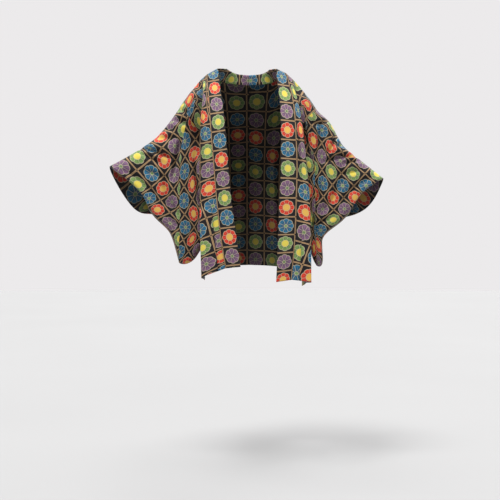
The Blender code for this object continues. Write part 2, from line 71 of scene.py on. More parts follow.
# Where the cut's (across, down) stations lie in the pose, as (out, height). "across" runs outwards from
# the armhole seam, and its first station lies on the body strip.
ACROSS = (-0.060, 0.0, 0.060, 0.154, 0.248, 0.340)
SLEEVE_CAGE = metres({
    "right": (
        # down    on the body       armhole seam      inner arm
        #         elbow             forearm           wrist
        (0, ((185, -50), (222, -99), (254, -147), (314, -219), (388, -270), (473, -317))),
        (126.5, ((158, -98), (178, -154), (205, -217), (249, -298), (309, -365), (378, -415))),
        (252.5, ((87, -195), (107, -251), (148, -300), (195, -385), (246, -456), (319, -490))),
        (315.5, ((69, -228), (89, -284), (128, -339), (167, -428), (211, -498), (268, -543))),
        (378.5, ((50, -262), (70, -318), (107, -379), (138, -472), (178, -540), (249, -598))),
        (485, ((24, -327), (44, -383), (67, -448), (101, -531), (155, -604), (231, -670))),
    ),
    "left": (
        (0, ((196, -75), (229, -126), (272, -167), (319, -247), (386, -303), (456, -358))),
        (126.5, ((168, -111), (188, -167), (225, -222), (268, -300), (328, -368), (392, -424))),
        (252.5, ((118, -195), (138, -251), (176, -304), (216, -375), (263, -448), (319, -498))),
        (378.5, ((91, -262), (111, -318), (134, -379), (171, -452), (199, -521), (248, -573))),
        (485, ((77, -333), (97, -389), (121, -449), (160, -531), (200, -609), (255, -684))),
    ),
})
# The line where a sleeve turns in beside the body: (height, out)
LIP = metres({
    "right": ((-700, 168), (-230, 168), (-160, 158), (-50, 150)),
    "left": ((-700, 206), (-570, 205), (-450, 197), (-370, 187), (-270, 178), (-110, 160)),
})
LIP_RADIUS = 0.010
LIP_STEEPEST = 1.5         # how steeply the layer turns in at most, depth by width
LIP_PAST_EDGE = 1.4        # how far it goes on turning in, as a share of the way to its edge
# The long overlap down a sleeve, inner cloth over outer: (height, out, cloth hidden)
OVERLAP = metres({
    "right": ((-660, 238, 0), (-570, 234, 23), (-290, 228, 24), (-185, 210, 26), (-130, 198, 22),
              (-55, 149, 0)),
    "left": ((-660, 230, 0), (-540, 224, 28), (-290, 216, 33), (-200, 200, 20), (-100, 165, 0)),
})
OVERLAP_START, OVERLAP_TURN = 0.30, 0.75     # where the cloth turns under, as shares of the cloth hidden
OVERLAP_PROUD = 9.0        # how much deeper the bag is inside the overlap, for each metre hidden
# Half the depth of a sleeve's bag: (down, at the armhole, at the wrist)
BAG = metres(((0, 52, 36), (120, 56, 38), (300, 46, 34), (420, 36, 26), (485, 30, 20)))
CREST_RADIUS = (0.042, 0.026)   # of the fold over the arm, at the armhole and at the wrist
SEWN_EDGE_ROUND = 0.022         # how far in from a sewn edge the bag rounds off
ARMPIT_DEPTH = 0.014            # half the depth left between the layers at the armpit
ARMPIT_TOP = 0.120              # where the layers start to come together, below the fold over the arm
ARMPIT_END = 0.060              # where they are apart again, below the end of the armhole
ARMPIT_REACH = 0.080            # width of cloth that slopes in to the armpit
CUFF_CLOSES = 0.060             # length over which the cuff narrows to its lower end
CUFF_DROOP = {"right": 0.046, "left": 0.034}     # how far the back of the open cuff hangs out
CUFF_DROOP_REACH = 0.100        # width of cloth that hangs with it
DROOP_OUT, DROOP_DOWN = 0.5, 0.8    # the way it hangs, as shares of that
CUFF_ROLL = {"right": 0.023, "left": 0.027}      # width of cloth rolled in along the front of the cuff
CUFF_ROLL_RADIUS = 0.006
CUFF_RIM = 0.015                # half the width left open between the rolled edge and the wrist's middle


def through(stations, values, at):
    """Read a smooth curve that passes through values at rising stations, with no overshoot."""
    s = np.asarray(stations, float)
    x = np.atleast_1d(np.asarray(at, float))
    y = np.asarray(values, float)
    if y.ndim == 1:
        y = np.repeat(y[:, None], x.size, axis=1)
    step = np.diff(s)[:, None]
    rise = np.diff(y, axis=0) / step
    slope = np.empty_like(y)
    slope[0], slope[-1] = rise[0], rise[-1]
    both = rise[:-1] * rise[1:]
    total = np.where(both > 0, rise[:-1] + rise[1:], 1.0)
    slope[1:-1] = np.where(both > 0, 2 * both / total, 0.0)
    i = np.clip(np.searchsorted(s, x, side="right") - 1, 0, len(s) - 2)
    n = np.arange(x.size)
    h = s[i + 1] - s[i]
    t = np.clip((x - s[i]) / h, 0.0, 1.0)
    inside = (
        (2 * t**3 - 3 * t**2 + 1) * y[i, n] + (t**3 - 2 * t**2 + t) * h * slope[i, n]
        + (3 * t**2 - 2 * t**3) * y[i + 1, n] + (t**3 - t**2) * h * slope[i + 1, n]
    )
    below, above = np.minimum(x - s[0], 0.0), np.maximum(x - s[-1], 0.0)
    return inside + below * slope[0, n] + above * slope[-1, n]


def eased(t):
    """0 to 1, slow at both ends."""
    t = np.clip(t, 0.0, 1.0)
    return t * t * (3 - 2 * t)


def column(table, key, at):
    """One column of a table whose first column rises."""
    return through([row[0] for row in table], [row[key] for row in table], at)


def round_off(distance, radius):
    """Profile of a quarter circle: 0 at an edge, 1 from one radius in."""
    t = 1 - np.clip(distance / radius, 0.0, 1.0)
    return np.sqrt(np.clip(1 - t * t, 0.0, 1.0))


def widest(down):
    """Width of the sleeve's cut at a distance below the fold, with its rounded outer corner."""
    into = np.clip((down - (SLEEVE_LENGTH - SLEEVE_ROUND)) / SLEEVE_ROUND, 0.0, 1.0)
    return SLEEVE_WIDTH - SLEEVE_ROUND * (1 - np.sqrt(1 - into * into))


def sleeve_plane(side, across, down):
    """Where the sleeve's cut lies seen from the front: out, height, and how far round the arm it is."""
    share = np.clip(across / SLEEVE_WIDTH, 0.0, 1.0)
    radius = CREST_RADIUS[0] + share * (CREST_RADIUS[1] - CREST_RADIUS[0])
    # Over the fold the cloth first turns round the arm, so it drops less than its own length
    turn = np.minimum(down / radius, math.pi / 2)
    drop = radius * (1 - np.cos(turn)) + np.maximum(down - radius * math.pi / 2, 0.0)
    stations = np.array([station for station, places in SLEEVE_CAGE[side]])
    stations[1:] -= CREST_RADIUS[0] * (math.pi / 2 - 1)
    plane = []
    for c in (0, 1):
        rows = [through(ACROSS, [place[c] for place in places], across) for _, places in SLEEVE_CAGE[side]]
        plane.append(through(stations, np.array(rows), drop))
    return plane[0], plane[1], np.sin(turn)


def sewn_shut(down):
    """How far the wrist edge is closed: 0 at the open cuff, 1 from its lower end."""
    return eased((down - (CUFF - CUFF_CLOSES)) / CUFF_CLOSES)


def bag_depth(across, down, rounded):
    """Half the depth of the bag: round at the fold and at the sewn edges, open at the wrist."""
    share = np.clip(across / SLEEVE_WIDTH, 0.0, 1.0)
    depth = (1 - share) * column(BAG, 1, down) + share * column(BAG, 2, down)
    wrist = 1 - sewn_shut(down) * (1 - round_off(widest(down) - across, SEWN_EDGE_ROUND))
    depth = depth * rounded * wrist * round_off(SLEEVE_LENGTH - down, SEWN_EDGE_ROUND)
    # The two layers come together at the armpit, over the narrow top of the gusset
    pinch = eased((down - ARMPIT_TOP) / (ARMHOLE - ARMPIT_TOP)) * eased(1 - (down - ARMHOLE) / ARMPIT_END)
    pinch = pinch * eased(1 - np.abs(across) / ARMPIT_REACH)
    return depth + pinch * (np.minimum(depth, ARMPIT_DEPTH) - depth)


def overlapped(side, out, height):
    """Fold the plane at the long overlap: cloth inside its line lies over the cloth outside it."""
    line, hidden = column(OVERLAP[side], 1, height), column(OVERLAP[side], 2, height)
    over = eased((line - OVERLAP_START * hidden - out) / np.maximum(OVERLAP_TURN * hidden, 1e-6))
    return out + hidden * over, over * hidden


def turned_in(side, down, out, height, depth):
    """Beside the body the layer turns in towards the arm's own line, which its inner edge reaches."""
    lip = column(LIP[side], 1, height)
    excess = np.maximum(lip - out, 0.0)
    bend = np.minimum(excess / LIP_RADIUS, math.pi / 2)
    run = np.maximum(excess - LIP_RADIUS * math.pi / 2, 0.0)
    edge_out, edge_height, _ = sleeve_plane(side, np.zeros_like(down), down)
    edge_out, hidden = overlapped(side, edge_out, edge_height)
    edge_run = np.maximum(column(LIP[side], 1, edge_height) - edge_out - LIP_RADIUS * math.pi / 2, 1e-6)
    room = np.maximum(depth - ARMPIT_DEPTH - LIP_RADIUS, 0.0)
    inward = np.clip(run / edge_run, 0.0, LIP_PAST_EDGE) * np.minimum(room, LIP_STEEPEST * edge_run)
    depth = np.maximum(depth - LIP_RADIUS * (1 - np.cos(bend)), np.minimum(depth, ARMPIT_DEPTH)) - inward
    return np.where(excess > 0, lip - LIP_RADIUS * np.sin(bend), out), depth


def sleeve_point(side, across, down, folded=True):
    """Points of the sleeve's cut as worn. down is positive on its front layer and negative on the back.

    Without its folds it is one smooth bag, which gives the directions for pressing creases in."""
    across, down = np.broadcast_arrays(np.asarray(across, float), np.asarray(down, float))
    shape = across.shape
    across, down = across.ravel(), down.ravel()
    front, down = down >= 0, np.abs(down)
    mouth = np.sin(math.pi * np.clip(down / CUFF, 0.0, 1.0))
    # The front of the cuff is rolled in, so that its edge lies nearer the wrist
    roll = CUFF_ROLL[side] * mouth
    excess = np.maximum(across - widest(down) + roll, 0.0) * front * folded
    bend = np.minimum(excess / CUFF_ROLL_RADIUS, math.pi / 2)
    out, height, rounded = sleeve_plane(side, across - excess + CUFF_ROLL_RADIUS * np.sin(bend), down)
    depth = bag_depth(across, down, rounded)
    depth -= np.maximum(depth - CUFF_RIM * mouth**0.7, 0.0) * eased(excess / np.maximum(roll, 1e-6))
    # The back of the cuff hangs lower than the front
    droop = CUFF_DROOP[side] * mouth * eased(1 - (widest(down) - across) / CUFF_DROOP_REACH) * ~front
    out = out + DROOP_OUT * droop
    height = height - DROOP_DOWN * droop
    if folded:
        out, hidden = overlapped(side, out, height)
        depth = depth * (1 + hidden * OVERLAP_PROUD)
        out, depth = turned_in(side, down, out, height, depth)
    y = SHOULDER_Y + np.where(front, -depth, depth)
    return np.stack([SIDES[side] * out, y, height], axis=-1).reshape(shape + (3,))


def normals(points):
    """Unit normals of a grid of points."""
    along, beside = np.gradient(points, axis=0), np.gradient(points, axis=1)
    n = np.cross(beside, along)
    return n / np.maximum(np.linalg.norm(n, axis=-1, keepdims=True), 1e-12)


SEAM_REACH = 0.014             # how far in from a seam the creases are at their full depth
CREASE_FADES = 0.35            # share of a crease's length


# A crease is a soft trough with rounded shoulders, or a ridge where its depth is negative, along a line of
# places on the cut: (half width, depth, ((across, down), ...))
def creased(points, smooth, across, down, creases, outward, from_seams):
    """Press creases into a grid of points, along the normals of the same cloth without its folds.

    Each fades in and out over a third of its length, and all die out towards the seams, so that the sewn
    edges of neighbours still meet."""
    push = np.zeros_like(across)
    for wide, deep, line in creases:
        line = np.array(line)
        runs = np.linalg.norm(np.diff(line, axis=0), axis=1)
        passed = np.concatenate([[0.0], np.cumsum(runs)])
        nearest, along = np.full(across.shape, np.inf), np.zeros_like(across)
        for start, end, run, before in zip(line, line[1:], runs, passed):
            u, v = across - start[0], down - start[1]
            t = np.clip((u * (end - start)[0] + v * (end - start)[1]) / run**2, 0.0, 1.0)
            off = np.hypot(u - t * (end - start)[0], v - t * (end - start)[1])
            closer = off < nearest
            nearest, along = np.where(closer, off, nearest), np.where(closer, before + t * run, along)
        done = along / passed[-1]
        fade = eased(done / CREASE_FADES) * eased((1 - done) / CREASE_FADES)
        off = nearest / wide
        push -= deep * (1 - 0.5 * off**2) * np.exp(-0.6 * off**2) * fade
    push = push * eased(from_seams / SEAM_REACH)
    n = normals(smooth)
    return points + push[..., None] * n * np.sign(np.sum(n * outward))


def add(tree, kind, inputs=None, **settings):
    """Add a node, set its properties, and give each input a value or a link from another node's socket."""
    node = tree.nodes.new(kind)
    for name, value in settings.items():
        setattr(node, name, value)
    for key, value in (inputs or {}).items():
        if isinstance(value, bpy.types.NodeSocket):
            tree.links.new(value, node.inputs[key])
        else:
            node.inputs[key].default_value = value
    return node


def linear(hex_colour, alpha=1.0):
    """An sRGB hex colour as linear light."""
    parts = [int(hex_colour[i:i + 2], 16) / 255 for i in (1, 3, 5)]
    return (*(c / 12.92 if c <= 0.04045 else ((c + 0.055) / 1.055) ** 2.4 for c in parts), alpha)


# The bolt is a fine silk crepe with a printed repeat: a square lattice of 63 mm, each cell with a round
# flower of eight petals, in four colourings that step by one from cell to cell along both ways
CELL = 63.0                       # mm
FLOWER, NOTCH = 25.0, 3.4         # mm, the flower's radius and how deep its edge dips between petals
OUTLINE = 0.75                    # mm, half the width of the pale lines round the petals
STROKE, STROKE_AT = 0.85, 1.2     # mm, half the width of a lattice stroke, and its distance from the middle
SOFT = 0.30                       # mm, how far a printed edge bleeds into the cloth
THREAD = 1.1                      # mm, drawn about four times as coarse as the real thread so that it shows
GROUND, GROUND_WARM, TAN, PALE = "#0e0e11", "#19161a", "#b5936a", "#b7ae90"
# petals, petals' shade, centre, centre's radius in mm
COLOURINGS = (
    ("#825f7c", "#583f5f", "#72875a", 5.2),     # purple
    ("#7c9a5a", "#55743f", "#d9c752", 11.8),    # green
    ("#1f6c8f", "#134a6a", "#7c985e", 5.2),     # blue
    ("#d63e2a", "#ae2a1d", "#dcae52", 11.8),    # red
)


def printed_silk(name, tone_and_painted_shade):
    """The printed crepe. Its reverse is the same print, a little duller, and made much darker as painted
    shade for the shaded insides of the jacket.

    Silk crepe is matt: its twisted threads break up the light, so it has no highlight, only a faint bloom
    where it turns away, and the dark ground stays dark in the folds while the flowers carry the shape."""
    material = bpy.data.materials.new(name)
    material.use_nodes = True
    tree = material.node_tree
    shader = tree.nodes["Principled BSDF"]
    made = {"cut": add(tree, "ShaderNodeUVMap", uv_map="cut").outputs["UV"], "cloth": linear(GROUND),
            "ground": linear(GROUND), "warm": linear(GROUND_WARM), "tan": linear(TAN), "pale": linear(PALE)}
    ramps = []
    for key, part in enumerate(("petal", "petal_shade", "heart", "heart_radius")):
        ramp = add(tree, "ShaderNodeValToRGB")
        ramp.color_ramp.interpolation = "CONSTANT"
        for _ in range(2):
            ramp.color_ramp.elements.new(0.5)
        for n, (element, row) in enumerate(zip(ramp.color_ramp.elements, COLOURINGS)):
            element.position = n / 4
            element.color = linear(row[key]) if key < 3 else (row[key] / CELL,) * 3 + (1.0,)
        made[part] = ramp.outputs["Color"]
        ramps.append(ramp)
    # Each row makes one node: (names of its outputs, kind and operation, its inputs by value or by name)
    for names, made_by, *values in (
        # Threads and dye wander a little, so the print's lines aren't ruler-straight
        ("_ wander", "TexNoise", "cut", None, 9.0, 2.0),
        ("wander", "VectorMath SUBTRACT", "wander", (0.5, 0.5, 0.5)),
        ("wander", "VectorMath SCALE", "wander", None, None, 0.018),
        ("place", "VectorMath ADD", "cut", "wander"),
        # The cell, and the place in it from its middle in mm
        ("corner", "VectorMath FLOOR", "place"),
        ("within", "VectorMath SUBTRACT", "place", "corner"),
        ("within", "VectorMath SUBTRACT", "within", (0.5, 0.5, 0.0)),
        ("within", "VectorMath MULTIPLY", "within", (CELL, CELL, 0.0)),
        ("x y", "SeparateXYZ", "within"),
        ("column row", "SeparateXYZ", "corner"),
        # Which of the four colourings the cell has
        ("turn", "Math ADD", "column", "row"),
        ("turn", "Math ADD", "turn", 0.5),
        ("turn", "Math FLOORED_MODULO", "turn", 4.0),
        ("turn", "Math DIVIDE", "turn", 4.0),
        ("heart_radius", "Math MULTIPLY", "heart_radius", CELL),
        # Polar place in the flower: the distance from its middle, and how far round a petal, 0 to 1 to 0
        ("_ radius", "VectorMath LENGTH", "within"),
        ("angle", "Math ARCTAN2", "y", "x"),
        ("swing", "Math MULTIPLY", "angle", 4 / math.pi),
        ("swing", "Math PINGPONG", "swing", 0.5),
        ("swing", "Math MULTIPLY", "swing", 2.0),
        ("arc", "Math MULTIPLY", "swing", "swing"),
        ("arc", "Math SUBTRACT", 1.0, "arc"),
        ("arc", "Math POWER", "arc", 0.5),
        ("edge", "Math MULTIPLY_ADD", "arc", NOTCH, FLOWER - NOTCH),
        # Distances in mm from everything that is printed. The gap between two petals widens with the
        # radius, each petal has a short vein, and seeds stand in a ring inside the heart
        ("outside", "Math SUBTRACT", "radius", "edge"),
        ("rim", "Math ABSOLUTE", "outside"),
        ("gap", "Math SUBTRACT", 1.0, "swing"),
        ("gap", "Math MULTIPLY", "gap", "radius"),
        ("gap", "Math MULTIPLY", "gap", math.pi / 8),
        ("vein", "Math MULTIPLY", "swing", "radius"),
        ("to_heart", "Math SUBTRACT", "radius", "heart_radius"),
        ("heart_rim", "Math ABSOLUTE", "to_heart"),
        ("seed", "Math MULTIPLY", "angle", 12 / math.pi / 2),
        ("seed", "Math PINGPONG", "seed", 0.5),
        ("seed", "Math MULTIPLY", "seed", "radius"),
        ("ring", "Math ADD", "to_heart", 3.4),
        ("ring", "Math ABSOLUTE", "ring"),
        # The lattice is two strokes along each side of the cell, tied by a dark knot at the crossings
        ("side", "VectorMath ABSOLUTE", "within"),
        ("side", "VectorMath SUBTRACT", (CELL / 2, CELL / 2, 0.0), "side"),
        ("beside above", "SeparateXYZ", "side"),
        ("stroke", "Math MINIMUM", "beside", "above"),
        ("stroke", "Math SUBTRACT", "stroke", STROKE_AT),
        ("stroke", "Math ABSOLUTE", "stroke"),
        ("knot", "Math ADD", "beside", "above"),
        # Petals darken towards the heart, and the dye is a little uneven
        ("depth", "MapRange", "radius", FLOWER, 9.0),
        ("cloud", "TexNoise", "cut", None, 1.3, 5.0),
        ("mottle", "TexNoise", "cut", None, 26.0, 4.0),
        # The mottle's range also carries the tone passed in, which on the reverse holds painted shade
        ("mottle", "MapRange", "mottle", None, None, 0.82 * tone_and_painted_shade, 1.14 * tone_and_painted_shade),
        # Crepe: warp and weft cross at every thread, over a faint pebble
        ("threads", "VectorMath SCALE", "cut", None, None, CELL / THREAD * 2 * math.pi),
        ("threads", "VectorMath SINE", "threads"),
        ("warp weft", "SeparateXYZ", "threads"),
        ("weave", "Math MULTIPLY", "warp", "weft"),
        ("pebble", "TexNoise", "cut", None, 42.0, 3.0),
        ("relief", "Math MULTIPLY_ADD", "weave", 0.35, "pebble"),
    ):
        kind, *operation = made_by.split()
        inputs = {n: made.get(value, value) for n, value in enumerate(values) if value is not None}
        node = add(tree, "ShaderNode" + kind, inputs, **dict(zip(["operation"], operation)))
        made.update(zip(names.split(), node.outputs))
    for ramp in ramps:
        tree.links.new(made["turn"], ramp.inputs["Fac"])

    # Each one's share of ink is 1 where its distance is under half its width
    ink = {}
    for key, distance, half in (
        ("flower", "outside", 0.0), ("rim", "rim", OUTLINE), ("gap", "gap", OUTLINE * 0.8),
        ("vein", "vein", 0.9), ("vein end", "radius", 19.0), ("heart", "to_heart", 0.0),
        ("heart rim", "heart_rim", 0.6), ("seed", "seed", 0.6), ("ring", "ring", 0.6),
        ("stroke", "stroke", STROKE), ("knot", "knot", 3.0),
    ):
        span = {0: made[distance], 1: half - SOFT, 2: half + SOFT, 3: 1.0, 4: 0.0}
        ink[key] = add(tree, "ShaderNodeMapRange", span, interpolation_type="SMOOTHSTEP").outputs[0]
    for key, other, most in (("vein", "vein end", 0.35), ("seed", "ring", 0.5)):
        both = add(tree, "ShaderNodeMath", {0: ink[key], 1: ink[other]}, operation="MULTIPLY").outputs[0]
        ink[key] = add(tree, "ShaderNodeMath", {0: both, 1: most}, operation="MULTIPLY").outputs[0]

    # Colour, from the ground up: each layer is laid over the ones before it, and the flower over the cloth
    for under, share, over in (
        ("heart", ink["seed"], "warm"),
        ("petal", made["depth"], "petal_shade"), ("petal", ink["vein"], "pale"),
        ("petal", ink["gap"], "pale"), ("petal", ink["heart"], "heart"), ("petal", ink["heart rim"], "pale"),
        ("cloth", made["cloud"], "warm"), ("cloth", ink["stroke"], "tan"), ("cloth", ink["knot"], "ground"),
        ("cloth", ink["flower"], "petal"), ("cloth", ink["rim"], "pale"),
    ):
        laid = {0: share, 6: made[under], 7: made[over]}
        made[under] = add(tree, "ShaderNodeMix", laid, data_type="RGBA").outputs[2]
    colour = add(tree, "ShaderNodeVectorMath", {0: made["cloth"], "Scale": made["mottle"]}, operation="SCALE")
    tree.links.new(colour.outputs[0], shader.inputs["Base Color"])
    bump = add(tree, "ShaderNodeBump", {"Height": made["relief"], "Strength": 0.35, "Distance": 0.0006})
    tree.links.new(bump.outputs["Normal"], shader.inputs["Normal"])
    for key, value in (
        ("Roughness", 0.78), ("Specular IOR Level", 0.22),
        ("Sheen Weight", 0.10), ("Sheen Roughness", 0.45), ("Sheen Tint", linear("#e8e4ee")),
    ):
        shader.inputs[key].default_value = value
    return material


SILK_FACE = printed_silk("printed silk crepe", 0.78)
# The reverse: the same print, a little duller, and darkened as painted shade for the jacket's shaded insides
SILK_REVERSE_SHADED = printed_silk("reverse of the silk crepe, darkened with painted shade", 0.32)


def mesh_object(name, bm, *materials):
    """An object in the scene from a finished bmesh."""
    mesh = bpy.data.meshes.new(name)
    bm.to_mesh(mesh)
    bm.free()
    for material in materials:
        mesh.materials.append(material)
    made = bpy.data.objects.new(name, mesh)
    bpy.context.scene.collection.objects.link(made)
    return made


def sheet_of_silk(name, grids, middle, keep=None):
    """A thin sheet from one or more grids of (points, cut places), welded where they meet.

    middle is a point inside the hollow that the sheet goes round, so that its printed face is outside."""
    bm = bmesh.new()
    layer = bm.loops.layers.uv.new("cut")
    for points, places in grids:
        rows, cols = points.shape[:2]
        across, along = np.diff(points, axis=1)[:-1], np.diff(points, axis=0)[:, :-1]
        facing = np.sum(np.cross(across, along) * (points[:-1, :-1] - np.asarray(middle)))
        made = bmesh.ops.create_grid(bm, x_segments=cols - 1, y_segments=rows - 1, size=1.0)["verts"]
        order = sorted(made, key=lambda vertex: (round(vertex.co.y, 6), round(vertex.co.x, 6)))
        place = {}
        for n, (vertex, point) in enumerate(zip(order, points.reshape(-1, 3))):
            vertex.co = point
            place[vertex] = divmod(n, cols)
        faces = list({face for vertex in made for face in vertex.link_faces})
        spare = []
        for face in faces:
            for loop in face.loops:
                loop[layer].uv = places[place[loop.vert]]
            if keep is not None and not keep[tuple(map(min, zip(*(place[v] for v in face.verts))))]:
                spare.append(face)
        if facing < 0:
            bmesh.ops.reverse_faces(bm, faces=faces)
        bmesh.ops.delete(bm, geom=spare, context="FACES")
    bmesh.ops.remove_doubles(bm, verts=bm.verts, dist=0.00005)
    for face in bm.faces:
        face.smooth = True
    piece = mesh_object(name, bm, SILK_FACE, SILK_REVERSE_SHADED)
    wall = piece.modifiers.new("thickness", "SOLIDIFY")
    wall.thickness = SILK
    wall.offset = 0.0
    # The inside of the wall takes the reverse, darkened with painted shade
    wall.material_offset = 1
    return piece


# Creases of a sleeve, with down negative on its back: deep ones round the elbow and beside the overlap,
# long ones that fall to the bag's corner, and shallow ones over the arm and beside the cuff
SLEEVE_CREASES = metres({
    "right": (
        (8, 14, ((232, -14), (226, 4), (200, 40), (179, 70), (140, 140))),
        (14, -6, ((176, 36), (155, 70), (130, 105))),
        (9.5, 8.5, ((158, 6), (148, 26), (126, 55), (92, 95))),
        (9, 15, ((70, 92), (128, 116), (165, 133), (215, 172))),
        (7.5, 10, ((238, 16), (216, 60), (194, 104))),
        (13, 13, ((190, 100), (236, 160), (258, 225), (266, 310))),
        (10.5, 9, ((328, 16), (298, 80), (288, 150), (302, 230))),
        (8.5, 8, ((272, 62), (242, 100), (215, 150))),
        (11, 10, ((45, 205), (88, 280), (130, 350), (150, 450))),
        (10, 9, ((22, 290), (56, 360), (80, 440))),
        (8.5, 10, ((78, 4), (66, 40), (44, 85), (12, 135))),
        (7.5, 7, ((32, 2), (26, 50), (2, 110))),
        (10.5, 8, ((300, 250), (286, 320), (292, 390))),
        (9.5, 8, ((118, 10), (106, 36), (80, 72))),
        (9, 13, ((236, -10), (195, -60), (150, -110), (85, -150))),
        (13, 12, ((40, -160), (95, -220), (130, -300), (140, -430))),
        (13, 11, ((180, -120), (225, -180), (248, -240), (258, -310))),
        (10.5, 9, ((312, -30), (285, -110), (290, -200))),
        (10.5, 9, ((110, -10), (85, -80), (36, -140))),
        (10.5, 8, ((50, -280), (72, -360), (80, -455))),
        (8.5, 8, ((266, -20), (238, -70), (220, -120))),
    ),
    "left": (
        (8, 15, ((224, -14), (218, 4), (190, 44), (173, 73), (158, 106), (136, 170))),
        (14, -6, ((166, 36), (148, 66), (132, 100))),
        (9, 12, ((102, 4), (114, 40), (130, 85), (128, 138))),
        (9.5, 12, ((40, 55), (64, 108), (92, 150), (115, 200))),
        (7.5, 10, ((240, 14), (214, 50), (194, 90))),
        (13, 14, ((190, 92), (230, 145), (246, 210), (254, 310))),
        (10.5, 9.5, ((314, 20), (288, 90), (280, 165), (302, 235))),
        (12, 13, ((168, 200), (196, 260), (208, 340), (204, 440))),
        (8.5, 8.5, ((266, 40), (240, 80), (212, 130))),
        (8.5, 9.5, ((56, 4), (52, 36), (40, 78), (14, 120))),
        (10.5, 9, ((300, 250), (284, 320), (286, 390))),
        (8.5, 9, ((146, 6), (146, 34), (130, 66))),
        (9, 15, ((226, -10), (180, -60), (140, -105), (75, -142))),
        (13, 13, ((50, -170), (95, -230), (118, -310), (110, -440))),
        (13, 13, ((180, -125), (225, -190), (240, -270), (245, -340))),
        (10.5, 9, ((308, -40), (282, -110), (290, -200))),
        (10.5, 10, ((120, -8), (90, -75), (36, -130))),
        (11, 11, ((175, -210), (200, -290), (205, -430))),
        (8.5, 9, ((262, -20), (240, -70), (216, -110))),
    ),
})


def round_the_edge(distance, most):
    """Cloth that a sewn edge's roundness takes up, by the distance from the edge in the plane."""
    return most * (1 - round_off(distance, SEWN_EDGE_ROUND)) ** 1.2


ELBOW_FOLD = (0.226, 0.65)      # where across the fold at the elbow starts, and how it slants
ELBOW_BUNCH = 0.027             # print hidden in it
BUNCH_REACH = 0.100             # how far below the fold over the arm the print is shifted
FOLD_WIDTH = 0.018
WRIST_TAKES, HEM_TAKES = 0.024, 0.012       # print that goes round the two sewn edges
PRINT_AT = {"right": (0.029, 0.032), "left": (0.029, 0.020)}    # its first flower, from the cuff and the fold


def sleeve_print(side, across, down):
    """The print's place on a sleeve, in cells. It runs on over the arm and round the sewn edges."""
    below = np.abs(down)
    from_cuff = SLEEVE_WIDTH - across - sewn_shut(below) * round_the_edge(widest(below) - across, WRIST_TAKES)
    # Above the elbow the cloth is bunched over the arm, and the print it takes up is lost in the fold there
    fold = ELBOW_FOLD[0] - ELBOW_FOLD[1] * below
    from_cuff = from_cuff + ELBOW_BUNCH * eased(1 - below / BUNCH_REACH) * eased((fold - across) / FOLD_WIDTH)
    down = down + np.sign(down) * round_the_edge(SLEEVE_LENGTH - below, HEM_TAKES)
    u, v = (from_cuff - PRINT_AT[side][0]) * 1000 / CELL, (down - PRINT_AT[side][1]) * 1000 / CELL
    return (u + 0.5, v + 0.5) if side == "right" else (0.5 - u, v + 1.5)


def make_sleeve(side):
    """One strip folded over the arm, whose layers are joined along the sewn edges."""
    sewn = SLEEVE_LENGTH - SEWN_EDGE_ROUND
    rounding = sewn + SEWN_EDGE_ROUND * np.sin(np.linspace(0.0, math.pi / 2, 9))
    downs = np.concatenate([np.linspace(0.0, sewn, int(sewn / GRAIN))[:-1], rounding])
    downs = np.concatenate([-downs[:0:-1], downs])
    share = np.linspace(0.0, 1.0, int(SLEEVE_WIDTH / FINE_GRAIN))
    across = share[None, :] * widest(np.abs(downs))[:, None]
    down = np.repeat(downs[:, None], len(share), axis=1)
    smooth = sleeve_point(side, across, down, folded=False)
    middle = np.array((SIDES[side] * 0.27, SHOULDER_Y, -0.33))
    points = creased(sleeve_point(side, across, down), smooth, across, down, SLEEVE_CREASES[side],
                     smooth - middle, across)
    places = np.stack(sleeve_print(side, across, down), axis=-1)
    piece = sheet_of_silk("silk_sleeve_" + side, [(points, places)], middle)
    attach(piece, "root")
    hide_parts("sleeve_" + side)


for side in SIDES:
    make_sleeve(side)

# --------------------------------------------------------------------------------------- body strips
# Each half of the body is one strip that runs from the front hem over the shoulder to the back hem, with
# no shoulder seam. The two strips are sewn together down the middle of the back, and the neck is cut
# away in front. The front hangs from the neck in one flat panel, with a deep valley beside the armhole.
BODY_WIDTH = 0.310         # from the centre back seam to the armhole seam
NECK_WIDTH = 0.120         # from the centre back seam to the collar seam
FRONT_LENGTH = 0.700
BACK_LENGTH = 0.680
ARMPIT_CLEAR = 0.0027      # how clear of the sleeve the body's wall stands in the valley at the armpit
CLEAR_STARTS, CLEAR_GROWS = 0.090, 0.070    # where, below the shoulder, and the length over which it grows
BACK_LEADS = 0.060         # length of the back that is led into the front at the shoulder
# Fold lines of the body strips, from the hem over the shoulder, each (down, out, y, height). The lines
# beside the armhole follow the sleeve as far as the armpit.
BODY_ACROSS = (0.0, 0.060, NECK_WIDTH, 0.175, 0.225, 0.268, BODY_WIDTH)
NECK_LINE = 2
DOWN, OUT, Y, HEIGHT = range(4)
# The first two lie on the back only, the same on both sides
BACK_LINES = metres((
    # centre seam
    ((680, 0, 172, -655), (450, 0, 180, -430), (330, 0, 160, -315), (200, 0, 108, -200), (80, 0, 50, -95),
     (0, 0, 6, -24)),
    # between the centre and the neck
    ((680, 60, 156, -657), (450, 60, 165, -434), (330, 60, 150, -320), (200, 62, 102, -205),
     (80, 66, 44, -98), (0, 72, -10, -20)),
))
